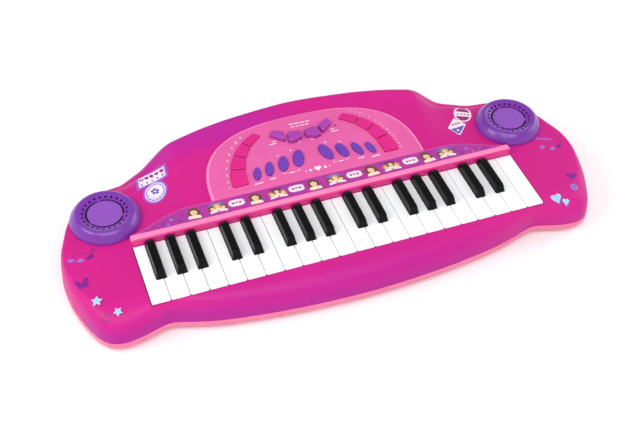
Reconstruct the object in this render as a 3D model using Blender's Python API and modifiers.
"""Toy electronic keyboard with 37 mini keys, two raised round speaker covers
and a half-moon control panel.

Everything is laid out on a "key grid": x counts white keys from the left edge
of the first one, y runs back from the front edge of the keys and z is height
over the white key tops, all three in key pitches.  at() turns a grid point
into metres.  The world origin is on the surface the feet stand on, under the
middle of the instrument's footprint.
"""
import math

import bmesh
import bpy
from mathutils import Matrix, Vector

# ------------------------------------------------------------------
# driving dimensions
# ------------------------------------------------------------------
PITCH = 0.019            # m, one white key with its gap
KEY_TOP = 0.042          # m, white key tops above the table
MM = 0.001 / PITCH       # one millimetre on the key grid
GAP = 0.3 * MM           # air between touching pieces

N_WHITE = 22
KEY_LEN = 4.04           # visible length of a white key
KEY_GAP = 0.62 * MM
KEY_DEPTH = 0.55         # height of a key's side walls
KEY_WALL = 1.6 * MM
SHARP_FRONT = 1.50       # where the black keys begin
SHARP_HALF = 0.26        # half width of a black key at its foot
SHARP_TOP_HALF = 0.205   # half width of its top
SHARP_RISE = 0.45        # black key top above the white ones
SHARP_SLOPE = 0.17       # how far its front leans back
PIVOT_Y = 5.40           # hinge line of all keys
PIVOT_Z = -0.12
TONGUE_END = 5.60
TONGUE_TOP = -0.23

WALL = 2.5 * MM          # case wall
RIM_Z = -1.50            # parting line between the two case halves
BAND = 0.34              # height of the bottom case's visible rim
BAND_LIP = 0.04          # how far the rim stands out past the top case
FLOOR_Z = -2.05
FOOT_Z = -KEY_TOP / PITCH
LOOP = 88                # points round the case
ROLL = 2.5               # squareness of the rolled case edge

SPINE_Y = 5.233          # crease where the hump starts to rise
SPINE_X0 = 3.0
HUMP_SLOPE = 0.12
PANEL_Y = 5.70           # front edge of the half-moon
PANEL_Z = 0.176
PANEL_T = 0.104
PANEL_A = 6.29           # half width of the half-moon
PANEL_B = 4.75           # its depth
PANEL_N = 2.7
PANEL_TILT = math.atan(HUMP_SLOPE)

LEDGE_Z = 0.40           # top of the ledge over the keys
LEDGE_BACK = 5.78

SPEAKER = (-0.87, 6.46)
SPEAKER_R = 1.915
SPEAKER_H = 0.60         # the ring ridge of a cover
SPEAKER_DISC = 0.46      # its sunken middle
HOLE_RING = 1.19
HOLE_R = 0.062
SLOT_RING = 0.98
SLOT_W = 0.090
DRIVER_R = 1.12

BUTTON_TRAVEL_DEPTH = 0.36
PINK_RISE = 0.13
OVAL_RISE = 0.11
TRAP_RISE = 0.28
CUT = 0.4 * MM           # clearance round a button

# left half of the case from the middle of the front to the middle of the
# back: rim x, rim y, then the point where the edge roll reaches the deck and
# how far the edge stands over the deck there
EDGE = [
    (11.10, -1.60, 11.10, 0.14, 0.0),
    (8.70, -1.53, 8.70, 0.14, 0.0),
    (6.30, -1.34, 6.30, 0.14, 0.0),
    (4.30, -1.08, 4.30, 0.14, 0.0),
    (3.00, -0.84, 3.00, 0.14, 0.0),
    (2.00, -0.57, 2.00, 0.14, 0.0),
    (1.30, -0.34, 1.30, 0.14, 0.0),
    (0.70, -0.24, 0.70, 0.18, 0.0),
    (0.00, -0.40, 0.10, 0.45, 0.0),
    (-0.80, -0.62, -0.60, 0.70, 0.0),
    (-1.60, -0.72, -1.30, 0.90, 0.0),
    (-2.25, -0.58, -1.85, 1.15, 0.0),
    (-2.70, -0.18, -2.30, 1.35, 0.0),
    (-3.00, 0.36, -2.65, 1.70, 0.0),
    (-3.34, 1.25, -2.98, 2.15, 0.0),
    (-3.60, 2.20, -3.22, 2.80, 0.0),
    (-3.74, 3.15, -3.42, 3.45, 0.03),
    (-3.78, 4.10, -3.48, 4.20, 0.03),
    (-3.66, 5.00, -3.38, 5.00, 0.02),
    (-3.38, 5.85, -3.12, 5.80, 0.0),
    (-3.02, 6.78, -2.80, 6.64, 0.0),
    (-2.48, 7.66, -2.30, 7.46, 0.0),
    (-1.60, 8.38, -1.50, 8.18, 0.0),
    (-0.54, 8.80, -0.52, 8.52, -0.05),
    (0.40, 9.20, 0.50, 8.82, -0.25),
    (1.10, 9.82, 1.30, 9.30, -0.42),
    (1.75, 10.32, 2.05, 9.62, -0.46),
    (2.45, 10.68, 2.88, 9.76, -0.16),
    (3.30, 10.92, 3.65, 10.00, 0.14),
    (4.40, 11.12, 4.65, 10.42, 0.15),
    (5.90, 11.38, 6.05, 10.84, 0.12),
    (7.90, 11.66, 7.95, 11.15, 0.1),
    (11.10, 11.88, 11.10, 11.38, 0.1),
]

KEYS_X = N_WHITE / 2
MID_X = KEYS_X + 0.10    # the case stands a little to the right of the keys
MID_Y = (EDGE[0][1] + EDGE[-1][1]) / 2


def at(x, y, z=0.0):
    return Vector(((x - MID_X) * PITCH, (y - MID_Y) * PITCH,
                   KEY_TOP + z * PITCH))


# ------------------------------------------------------------------
# scene
# ------------------------------------------------------------------
for ob in list(bpy.data.objects):
    bpy.data.objects.remove(ob, do_unlink=True)

parts = bpy.data.collections.new("toy_keyboard")
cutters = bpy.data.collections.new("cutters")
bpy.context.scene.collection.children.link(parts)
bpy.context.scene.collection.children.link(cutters)
cutters.hide_render = True


def material(name, colour, roughness, metallic=0.0):
    mat = bpy.data.materials.new(name)
    mat.use_nodes = True
    bsdf = mat.node_tree.nodes["Principled BSDF"]
    bsdf.inputs["Base Color"].default_value = (*colour, 1.0)
    bsdf.inputs["Roughness"].default_value = roughness
    bsdf.inputs["Metallic"].default_value = metallic
    mat.diffuse_color = (*colour, 1.0)
    return mat


MAGENTA = (0.72, 0.025, 0.29)
LIGHT_PINK = (0.86, 0.16, 0.42)
RIM_PINK = (0.90, 0.22, 0.42)
HOT_PINK = (0.83, 0.03, 0.25)
PURPLE = (0.27, 0.07, 0.50)
DEEP_PURPLE = (0.19, 0.055, 0.46)
MAUVE = (0.42, 0.09, 0.42)
IVORY = (0.90, 0.90, 0.92)
EBONY = (0.012, 0.012, 0.014)
BOARD_GREEN = (0.05, 0.22, 0.09)
DRIVER_GREY = (0.05, 0.05, 0.055)


def own(ob, colour, roughness=0.35):
    ob.data.materials.clear()
    ob.data.materials.append(material(ob.name, colour, roughness))
    return ob


def mesh_object(name, bm, collection=parts, smooth=True):
    """Finish a bmesh as an object; cutters are wire guides."""
    bmesh.ops.recalc_face_normals(bm, faces=bm.faces[:])
    mesh = bpy.data.meshes.new(name)
    bm.to_mesh(mesh)
    bm.free()
    ob = bpy.data.objects.new(name, mesh)
    collection.objects.link(ob)
    if collection is cutters:
        ob.hide_render = True
        ob.display_type = "WIRE"
    elif smooth:
        mesh.shade_smooth()
        mesh.set_sharp_from_angle(angle=math.radians(35))
    return ob


def boolean(ob, other, operation="DIFFERENCE"):
    mod = ob.modifiers.new(operation.lower() + "_" + other.name, "BOOLEAN")
    mod.operation = operation
    mod.solver = "EXACT"
    mod.object = other
    return mod


# ------------------------------------------------------------------
# geometry helpers
# ------------------------------------------------------------------
def catmull(points, i, t):
    """Point on a closed Catmull-Rom loop between points i and i + 1."""
    n = len(points)
    p0, p1, p2, p3 = (points[(i + k) % n] for k in (-1, 0, 1, 2))
    out = []
    for a, b, c, d in zip(p0, p1, p2, p3):
        out.append(0.5 * (2 * b + (c - a) * t + (2 * a - 5 * b + 4 * c - d) * t * t
                          + (3 * b - a - 3 * c + d) * t ** 3))
    return out


def edge_loop(count):
    """Case edge evenly spaced along its rim: (rim x, y, deck x, y, z)."""
    right = [(2 * MID_X - a, b, 2 * MID_X - c, d, e)
             for a, b, c, d, e in EDGE[-2:0:-1]]
    loop = EDGE + right
    fine = []
    for i in range(len(loop)):
        for k in range(12):
            fine.append(catmull(loop, i, k / 12))
    fine.append(fine[0])
    run = [0.0]
    for a, b in zip(fine, fine[1:]):
        run.append(run[-1] + math.hypot(b[0] - a[0], b[1] - a[1]))
    out = []
    j = 0
    for k in range(count):
        s = run[-1] * k / count
        while run[j + 1] < s:
            j += 1
        f = (s - run[j]) / (run[j + 1] - run[j])
        out.append([a + (b - a) * f for a, b in zip(fine[j], fine[j + 1])])
    return out


def smoothstep(t):
    t = min(1.0, max(0.0, t))
    return t * t * (3 - 2 * t)


def deck_height(x, y):
    """Deck over the whole plan: flat in front, a hump rising to the back."""
    side = smoothstep((9.0 - abs(x - MID_X)) / 1.9)
    return side * max(0.0, HUMP_SLOPE * (y - SPINE_Y))


def offset(points, d):
    """Move a counter-clockwise outline outwards by d."""
    out = []
    n = len(points)
    for i in range(n):
        p, a, b = Vector(points[i]), Vector(points[i - 1]), Vector(points[(i + 1) % n])
        e1, e2 = (p - a).normalized(), (b - p).normalized()
        n1, n2 = Vector((e1.y, -e1.x)), Vector((e2.y, -e2.x))
        m = n1 + n2
        out.append(p + m * (d / max(0.2, (1 + n1.dot(n2)))))
    return [(p.x, p.y) for p in out]


def add_loft(bm, rings, cap=True):
    """Join rings of equal length with quads; close the first and last."""
    rows = [[bm.verts.new(p) for p in ring] for ring in rings]
    for low, high in zip(rows, rows[1:]):
        n = len(low)
        for i in range(n):
            bm.faces.new((low[i], low[(i + 1) % n], high[(i + 1) % n], high[i]))
    if cap:
        bm.faces.new(list(reversed(rows[0])))
        bm.faces.new(rows[-1])
    return rows


def prism(name, outline, z0, z1, collection=parts, local=None, chamfer=0.0):
    """Extruded grid outline; local=(x, y) keeps it in its own frame there."""
    bm = bmesh.new()
    if local is None:
        put = at
    else:
        def put(x, y, z):
            return Vector(((x - local[0]) * PITCH, (y - local[1]) * PITCH,
                           z * PITCH))
    rings = [[put(x, y, z0) for x, y in outline]]
    if chamfer:
        rings.append([put(x, y, z1 - chamfer) for x, y in outline])
        rings.append([put(x, y, z1) for x, y in offset(outline, -chamfer)])
    else:
        rings.append([put(x, y, z1) for x, y in outline])
    add_loft(bm, rings)
    return mesh_object(name, bm, collection)


def box(name, lo, hi, collection=cutters):
    """Axis-aligned block between two grid corners."""
    bm = bmesh.new()
    bmesh.ops.create_cube(bm, size=1.0)
    a, b = at(*lo), at(*hi)
    bmesh.ops.scale(bm, vec=b - a, verts=bm.verts[:])
    bmesh.ops.translate(bm, vec=(a + b) / 2, verts=bm.verts[:])
    return mesh_object(name, bm, collection)


def add_cylinder(bm, x, y, z0, z1, r, sides):
    mid = at(x, y, (z0 + z1) / 2)
    bmesh.ops.create_cone(bm, cap_ends=True, segments=sides,
                          radius1=r * PITCH, radius2=r * PITCH,
                          depth=(z1 - z0) * PITCH,
                          matrix=Matrix.Translation(mid))


def mirror_x(points, mid=None):
    mid = MID_X if mid is None else mid
    return [(2 * mid - x, y) for x, y in reversed(points)]


def turned(name, profile, centre, sides, colour, roughness=0.35):
    """Solid of revolution about a vertical axis on the grid point centre."""
    bm = bmesh.new()
    verts = [bm.verts.new((r * PITCH, 0.0, z * PITCH)) for r, z in profile]
    for a, b in zip(verts, verts[1:]):
        bm.edges.new((a, b))
    mesh = bpy.data.meshes.new(name)
    bm.to_mesh(mesh)
    bm.free()
    ob = bpy.data.objects.new(name, mesh)
    parts.objects.link(ob)
    ob.location = at(*centre)
    screw = ob.modifiers.new("turn", "SCREW")
    screw.axis = "Z"
    screw.steps = sides
    screw.render_steps = sides
    screw.use_merge_vertices = True
    screw.merge_threshold = 0.00002
    screw.use_smooth_shade = True
    own(ob, colour, roughness)
    return ob


# ------------------------------------------------------------------
# top case: a rolled edge lofted up to the deck, the deck carried in to a
# flat strip in front of the hump, the whole sheet thickened inwards
# ------------------------------------------------------------------
edge = edge_loop(LOOP)


def top_case():
    rings = []
    for step in range(6):
        theta = math.radians(18 * step)
        h = 1 - max(0.0, math.cos(theta)) ** (2 / ROLL)
        v = math.sin(theta) ** (2 / ROLL)
        if step == 5:
            h = v = 1.0
        rings.append([at(rx + (dx - rx) * h, ry + (dy - ry) * h,
                         RIM_Z + (deck_height(dx, dy) + dz - RIM_Z) * v)
                      for rx, ry, dx, dy, dz in edge])
    for t in (0.12, 0.36, 0.68, 1.0):
        ring = []
        for rx, ry, dx, dy, dz in edge:
            sx = min(max(dx, SPINE_X0), 2 * MID_X - SPINE_X0)
            sy = min(max(dy, SPINE_Y - 0.7), SPINE_Y)
            x, y = dx + (sx - dx) * t, dy + (sy - dy) * t
            ring.append(at(x, y, deck_height(x, y)))
        rings.append(ring)
    bm = bmesh.new()
    rows = add_loft(bm, rings, cap=False)
    bm.faces.new(rows[-1])
    bmesh.ops.remove_doubles(bm, verts=bm.verts[:], dist=0.0004)
    ob = mesh_object("top_case", bm)
    if ob.data.polygons[0].normal.dot(ob.data.polygons[0].center
                                      - at(MID_X, MID_Y, RIM_Z)) < 0:
        ob.data.flip_normals()
    thick = ob.modifiers.new("wall", "SOLIDIFY")
    thick.thickness = WALL * PITCH
    thick.offset = -1.0
    thick.use_even_offset = True
    boolean(ob, box("cut_key_window", (-0.032, -0.032, -0.7),
                    (N_WHITE + 0.032, KEY_LEN, 0.7)))
    moon = half_moon(PANEL_A - 0.40, PANEL_B - 0.40, PANEL_Y + 0.23, 21)
    boolean(ob, prism("cut_panel_well", moon, -0.5, 1.4, cutters))
    for side, x in (("left", SPEAKER[0]), ("right", 2 * MID_X - SPEAKER[0])):
        bm = bmesh.new()
        add_cylinder(bm, x, SPEAKER[1], -0.4, 0.4, DRIVER_R - 0.13, 24)
        boolean(ob, mesh_object("cut_speaker_" + side, bm, cutters))
    own(ob, MAGENTA, 0.3)
    return ob


def half_moon(a, b, y0, count):
    """Half superellipse standing on y0, counter-clockwise from the right."""
    out = []
    for i in range(count + 1):
        t = math.pi * i / count
        c, s = math.cos(t), math.sin(t)
        x = math.copysign(abs(c) ** (2 / PANEL_N), c)
        y = abs(s) ** (2 / PANEL_N) if 0 < i < count else 0.0
        out.append((MID_X + a * x, y0 + b * y))
    return out


# ------------------------------------------------------------------
# bottom case: a tray whose upper edge is the pale rim band
# ------------------------------------------------------------------
RAILS = ((0.2, 10.25), (11.75, 21.8))
FEET = ((-1.5, 1.3), (23.5, 1.3), (11.0, 0.0), (11.0, 10.2), (1.9, 8.7), (20.1, 8.7))
DOOR = (16.0, 6.3, 19.4, 9.3)
POSTS = ((1.6, 4.3), (20.4, 4.3), (7.3, 9.2), (14.7, 9.2))
BOARD_Z0 = -1.30
BOARD_T = 1.6 * MM


def bottom_case():
    rim = [(rx, ry) for rx, ry, dx, dy, dz in edge]
    ccw = sum(a[0] * b[1] - b[0] * a[1]
              for a, b in zip(rim, rim[1:] + rim[:1])) > 0
    if not ccw:
        rim.reverse()
    inner = FLOOR_Z + WALL
    levels = ((-0.50, FLOOR_Z), (-0.20, RIM_Z - BAND - 0.06),
              (BAND_LIP - 0.05, RIM_Z - BAND), (BAND_LIP, RIM_Z - BAND + 0.05),
              (BAND_LIP, RIM_Z - GAP), (BAND_LIP - WALL, RIM_Z - GAP),
              (BAND_LIP - WALL, RIM_Z - BAND + WALL), (-0.54, inner))
    bm = bmesh.new()
    add_loft(bm, [[at(x, y, z) for x, y in offset(rim, d)] for d, z in levels])
    ob = mesh_object("bottom_case", bm)
    for i, (x0, x1) in enumerate(RAILS):
        boolean(ob, box("pivot_rail_%d" % i, (x0, PIVOT_Y - 0.1, inner - 0.03),
                        (x1, PIVOT_Y + 0.1, -KEY_DEPTH - GAP)), "UNION")
    for i, (x, y) in enumerate(FEET):
        bm = bmesh.new()
        add_cylinder(bm, x, y, FOOT_Z, FLOOR_Z + 0.05, 0.5, 20)
        boolean(ob, mesh_object("foot_%d" % i, bm, cutters), "UNION")
    for i, (x, y) in enumerate(POSTS):
        bm = bmesh.new()
        add_cylinder(bm, x, y, inner - 0.03, BOARD_Z0 - GAP, 0.16, 10)
        boolean(ob, mesh_object("board_post_%d" % i, bm, cutters), "UNION")
    x0, y0, x1, y1 = DOOR
    boolean(ob, box("cut_battery_bay", (x0, y0, FLOOR_Z - 0.05),
                    (x1, y1, inner + 0.02)))
    own(ob, RIM_PINK, 0.4)
    return ob


def battery_door():
    x0, y0, x1, y1 = DOOR
    m = 0.4 * MM
    ob = prism("battery_door",
               [(x0 + m, y0 + m), (x1 - m, y0 + m), (x1 - m, y1 - m), (x0 + m, y1 - m)],
               FLOOR_Z, FLOOR_Z + WALL)
    own(ob, RIM_PINK, 0.45)
    return ob


def circuit_board():
    plan = [(0.4, 2.3), (21.6, 2.3), (21.6, 4.6), (11.6, 4.6), (11.6, 6.2),
            (15.6, 6.2), (15.6, 9.6), (6.4, 9.6), (6.4, 6.2), (10.4, 6.2),
            (10.4, 4.6), (0.4, 4.6)]
    ob = prism("circuit_board", plan, BOARD_Z0, BOARD_Z0 + BOARD_T)
    boolean(ob, box("contact_strip", (0.5, 3.0, BOARD_Z0 + BOARD_T - 0.03),
                    (21.5, 3.4, -0.82)), "UNION")
    own(ob, BOARD_GREEN, 0.5)
    return ob


# ------------------------------------------------------------------
# keys: hollow mouldings on a common hinge line under the ledge
# ------------------------------------------------------------------
# steps of the 22 white keys, starting on F; a sharp follows some of them and
# stands a little off the gap between its neighbours
SHARP_OFFSET = {"F": -0.10, "G": 0.0, "A": 0.10, "C": -0.08, "D": 0.10}
STEPS = "FGABCDE"


def sharp_after(i):
    """Centre of the black key between white keys i and i + 1, or None."""
    step = STEPS[i % 7]
    if 0 <= i < N_WHITE - 1 and step in SHARP_OFFSET:
        return i + 1 + SHARP_OFFSET[step]
    return None


under_deck = box("cut_tongues", (-1, KEY_LEN - 0.04, TONGUE_TOP),
                 (N_WHITE + 1, 7, 1))


def white_key(i):
    g = KEY_GAP / 2
    slot = SHARP_HALF + 0.45 * MM
    front = SHARP_FRONT - 0.45 * MM
    left = sharp_after(i - 1)
    right = sharp_after(i)
    x0, x1 = i + g, i + 1 - g
    n0 = x0 if left is None else left + slot
    n1 = x1 if right is None else right - slot
    r = 1.1 * MM
    pts = [(x0 + r, 0.0), (x1 - r, 0.0), (x1 - 0.3 * r, 0.3 * r), (x1, r)]
    if right is not None:
        pts += [(x1, front), (n1, front)]
    pts += [(n1, TONGUE_END), (n0, TONGUE_END)]
    if left is not None:
        pts += [(n0, front), (x0, front)]
    pts += [(x0, r), (x0 + 0.3 * r, 0.3 * r)]
    name = "white_key_%02d" % (i + 1)
    mid = i + 0.5
    ob = prism(name, pts, -KEY_DEPTH - PIVOT_Z, -PIVOT_Z, local=(mid, PIVOT_Y))
    ob.location = at(mid, PIVOT_Y, PIVOT_Z)
    w = KEY_WALL
    inner = [(x0 + w, w), (x1 - w, w)]
    if right is not None:
        inner += [(x1 - w, front - w), (n1 - w, front - w)]
    inner += [(n1 - w, KEY_LEN - 0.3), (n0 + w, KEY_LEN - 0.3)]
    if left is not None:
        inner += [(n0 + w, front - w), (x0 + w, front - w)]
    boolean(ob, prism("cut_hollow_w%02d" % (i + 1), inner, -KEY_DEPTH - 0.1,
                      -0.11, cutters))
    boolean(ob, under_deck)
    own(ob, IVORY, 0.25)
    return ob


def black_key(number, centre):
    name = "black_key_%02d" % number
    back = KEY_LEN - 0.04

    def put(x, y, z):
        return Vector((x * PITCH, (y - PIVOT_Y) * PITCH, (z - PIVOT_Z) * PITCH))

    def ring(half, y0, z, back_z=None):
        return [put(-half, y0, z), put(half, y0, z),
                put(half, back, z if back_z is None else back_z),
                put(-half, back, z if back_z is None else back_z)]

    c = 0.9 * MM
    rings = [ring(SHARP_HALF, SHARP_FRONT, -KEY_DEPTH),
             ring(SHARP_HALF, SHARP_FRONT, 0.04),
             ring(SHARP_TOP_HALF, SHARP_FRONT + SHARP_SLOPE, SHARP_RISE - c,
                  SHARP_RISE - c - 0.04),
             ring(SHARP_TOP_HALF - c, SHARP_FRONT + SHARP_SLOPE + c, SHARP_RISE,
                  SHARP_RISE - 0.04)]
    bm = bmesh.new()
    add_loft(bm, rings)
    ob = mesh_object(name, bm)
    ob.location = at(centre, PIVOT_Y, PIVOT_Z)
    half = SHARP_HALF - 0.03
    boolean(ob, box("tongue_b%02d" % number,
                    (centre - half, back - 0.2, -KEY_DEPTH),
                    (centre + half, TONGUE_END, TONGUE_TOP)), "UNION")
    w = KEY_WALL
    boolean(ob, box("cut_hollow_b%02d" % number,
                    (centre - SHARP_HALF + w, SHARP_FRONT + w + 0.02, -KEY_DEPTH - 0.1),
                    (centre + SHARP_HALF - w, back - 0.3, 0.0)))
    own(ob, EBONY, 0.3)
    return ob


# ------------------------------------------------------------------
# control panel: half-moon plate and the wedge ledge over the keys
# ------------------------------------------------------------------
def on_panel(ob, x, y):
    """Stand an object built in its own frame on the tilted panel."""
    ob.location = at(x, y, PANEL_Z + HUMP_SLOPE * (y - PANEL_Y))
    ob.rotation_euler = (PANEL_TILT, 0.0, 0.0)
    return ob


def arc_button(t0, t1):
    """One sector of the arc of buttons on the panel's left side."""
    def bow(a, b, n, t):
        t = math.radians(t)
        return (MID_X - 0.03 - a * math.cos(t) ** (2 / n),
                6.0 + b * math.sin(t) ** (2 / n))

    out = [bow(4.92, 4.20, 2.3, t)
           for t in (t1[0], (t0[0] + t1[0]) / 2, t0[0])]
    return [bow(4.05, 3.85, 2.5, t)
            for t in (t0[1], (t0[1] + t1[1]) / 2, t1[1])] + out


def ccw(points):
    area = sum(a[0] * b[1] - b[0] * a[1]
               for a, b in zip(points, points[1:] + points[:1]))
    return points if area > 0 else list(reversed(points))


# where the buttons meet: angle on the outer and on the inner bow
ARC = [(2.0, 2.0), (19.0, 17.0), (32.6, 28.0), (47.0, 42.5), (60.0, 58.0)]
TRAPS = [
    [(9.21, 9.20), (9.95, 8.56), (10.10, 9.14), (9.47, 9.47)],
    [(10.11, 8.46), (10.44, 8.38), (10.99, 8.58), (10.99, 9.00), (10.29, 9.12)],
]
OVALS = [(7.72, 6.83, 0.195, 0.44), (8.48, 6.965, 0.23, 0.495),
         (9.34, 7.10, 0.275, 0.53), (10.28, 7.24, 0.31, 0.595)]
OVAL_LEAN = math.radians(-17)


def oval(cx, cy, a, b, lean, grow=0.0, count=16):
    out = []
    for i in range(count):
        t = 2 * math.pi * i / count
        x, y = (a + grow) * math.cos(t), (b + grow) * math.sin(t)
        out.append((cx + x * math.cos(lean) - y * math.sin(lean),
                    cy + x * math.sin(lean) + y * math.cos(lean)))
    return out


def button_outlines():
    """Name, outline, rise and colour of every separate push button."""
    out = []
    for k in range(4):
        shape = ccw(offset(ccw(arc_button(ARC[k], ARC[k + 1])), -0.75 * MM))
        out.append(("rhythm_button_left_%d" % (k + 1), shape, PINK_RISE, HOT_PINK))
        out.append(("rhythm_button_right_%d" % (k + 1), ccw(mirror_x(shape)),
                    PINK_RISE, HOT_PINK))
    for k, shape in enumerate(TRAPS):
        shape = ccw(shape)
        out.append(("drum_button_%d" % (k + 1), shape, TRAP_RISE, MAUVE))
        out.append(("drum_button_%d" % (4 - k), ccw(mirror_x(shape)), TRAP_RISE, MAUVE))
    return out


def centre_of(points):
    return (sum(p[0] for p in points) / len(points),
            sum(p[1] for p in points) / len(points))


def push_button(name, outline, rise, colour):
    cx, cy = centre_of(outline)
    ob = prism(name, outline, -BUTTON_TRAVEL_DEPTH, rise, local=(cx, cy),
               chamfer=0.6 * MM)
    on_panel(ob, cx, cy)
    own(ob, colour, 0.35)
    return ob


def oval_keypad(name, side):
    """Four oval caps on one web that lies under the panel."""
    flip = side == "right"
    web = [(7.40, 6.30), (10.72, 6.44), (10.72, 7.98), (7.40, 7.42)]
    web = ccw(mirror_x(web) if flip else web)
    cx, cy = centre_of(web)
    top = -PANEL_T - 0.5 * MM
    ob = prism(name, web, top - 1.4 * MM, top, local=(cx, cy))
    on_panel(ob, cx, cy)
    for k, (x, y, a, b) in enumerate(OVALS):
        shape = oval(x, y, a, b, OVAL_LEAN)
        shape = ccw(mirror_x(shape) if flip else shape)
        cap = prism("%s_cap_%d" % (name, k), shape, top - 0.7 * MM, OVAL_RISE,
                    cutters, local=(cx, cy), chamfer=0.8 * MM)
        on_panel(cap, cx, cy)
        boolean(ob, cap, "UNION")
    own(ob, DEEP_PURPLE, 0.4)
    return ob


def control_panel():
    moon = ccw(half_moon(PANEL_A, PANEL_B, PANEL_Y, 30))
    plate = prism("control_panel", moon, -PANEL_T, 0.0, local=(MID_X, PANEL_Y),
                  chamfer=0.05)
    on_panel(plate, MID_X, PANEL_Y)
    # ledge: one section swept the width of the keyboard
    section = [(KEY_LEN, GAP), (SPINE_Y, GAP),
               (LEDGE_BACK, GAP + HUMP_SLOPE * (LEDGE_BACK - SPINE_Y)),
               (LEDGE_BACK, PANEL_Z - 0.002), (4.56, LEDGE_Z - 0.02),
               (4.46, LEDGE_Z), (KEY_LEN + 0.06, LEDGE_Z), (KEY_LEN, LEDGE_Z - 0.05)]
    bm = bmesh.new()
    add_loft(bm, [[at(x, y, z) for y, z in section]
                  for x in (0.0, N_WHITE)])
    ledge = mesh_object("ledge_bar", bm, cutters)
    for flip in (False, True):
        arc = []
        for i in range(9):
            rise = math.sin(math.radians(90 * i / 8)) ** 1.25
            arc.append((0.2 + 3.4 * i / 8, 4.56 + 1.24 * rise))
        shape = [(-1.0, 4.50)] + arc + [(3.6, 7.2), (-1.0, 7.2)]
        shape = ccw(mirror_x(shape, KEYS_X) if flip else shape)
        boolean(ledge, prism("cut_ledge_end_%d" % flip, shape, -0.5, 1.5, cutters))
    boolean(plate, ledge, "UNION")
    for name, outline, rise, colour in button_outlines():
        cx, cy = centre_of(outline)
        hole = prism("cut_" + name, offset(outline, CUT), -0.4, 0.5, cutters,
                     local=(cx, cy))
        on_panel(hole, cx, cy)
        boolean(plate, hole)
    for flip in (False, True):
        for k, (x, y, a, b) in enumerate(OVALS):
            shape = oval(x, y, a, b, OVAL_LEAN, CUT)
            shape = ccw(mirror_x(shape) if flip else shape)
            hole = prism("cut_oval_%d_%d" % (flip, k), shape, -0.4, 0.5, cutters,
                         local=(x, y))
            if flip:
                hole.data.transform(Matrix.Translation(
                    ((2 * x - 2 * MID_X) * PITCH, 0, 0)))
                x = 2 * MID_X - x
            on_panel(hole, x, y)
            boolean(plate, hole)
    own(plate, LIGHT_PINK, 0.35)
    return plate


# ------------------------------------------------------------------
# speakers
# ------------------------------------------------------------------
SLOTS = ((104, 203), (219, 328), (344, 449))


def speaker_cover(side, x):
    h, d, t = SPEAKER_H, SPEAKER_DISC, 1.9 * MM
    outer = [(0.0, d), (1.04, d), (1.34, h - 0.05), (1.42, h - 0.01), (1.48, h),
             (1.55, h - 0.03), (1.66, h - 0.14), (1.78, h - 0.28),
             (1.88, h - 0.43), (SPEAKER_R, h - 0.53), (SPEAKER_R, GAP)]
    inner = [(SPEAKER_R - t, GAP), (SPEAKER_R - t, h - 0.54),
             (1.70, h - 0.27 - t * 0.6), (1.48, h - t), (1.38, h - 0.04 - t),
             (1.06, d - t), (0.0, d - t)]
    ob = turned("speaker_cover_" + side, outer + inner,
                (x, SPEAKER[1], 0.0), 40, PURPLE, 0.25)
    bm = bmesh.new()
    for k in range(24):
        a = math.radians(15 * k)
        add_cylinder(bm, x + HOLE_RING * math.cos(a), SPEAKER[1] + HOLE_RING * math.sin(a),
                     d - 0.3, h + 0.2, HOLE_R, 6)
    for a0, a1 in SLOTS:
        steps = 9
        ring = []
        for r, order in ((SLOT_RING + SLOT_W / 2, range(steps + 1)),
                         (SLOT_RING - SLOT_W / 2, range(steps, -1, -1))):
            for k in order:
                a = math.radians(a0 + (a1 - a0) * k / steps)
                ring.append((x + r * math.cos(a), SPEAKER[1] + r * math.sin(a)))
        add_loft(bm, [[at(px, py, z) for px, py in ring] for z in (d - 0.3, h + 0.2)])
    boolean(ob, mesh_object("cut_grille_" + side, bm, cutters))
    return ob


def speaker_driver(side, x):
    top = -WALL - GAP - 0.01
    profile = [(0.0, top - 0.32), (0.30, top - 0.36), (0.92, top),
               (DRIVER_R, top), (DRIVER_R, top - 0.10), (0.70, top - 0.55),
               (0.55, top - 0.55), (0.55, top - 1.00), (0.0, top - 1.00)]
    return turned("speaker_driver_" + side, profile, (x, SPEAKER[1], 0.0), 24,
                  DRIVER_GREY, 0.5)


# ------------------------------------------------------------------
# assemble
# ------------------------------------------------------------------
top_case()
bottom_case()
battery_door()
circuit_board()
control_panel()
for side_name, centre_x in (("left", SPEAKER[0]), ("right", 2 * MID_X - SPEAKER[0])):
    speaker_cover(side_name, centre_x)
    speaker_driver(side_name, centre_x)
for index in range(N_WHITE):
    white_key(index)
sharps = [c for c in (sharp_after(i) for i in range(N_WHITE)) if c is not None]
for index, centre in enumerate(sharps):
    black_key(index + 1, centre)
for entry in button_outlines():
    push_button(*entry)
oval_keypad("oval_keypad_left", "left")
oval_keypad("oval_keypad_right", "right")
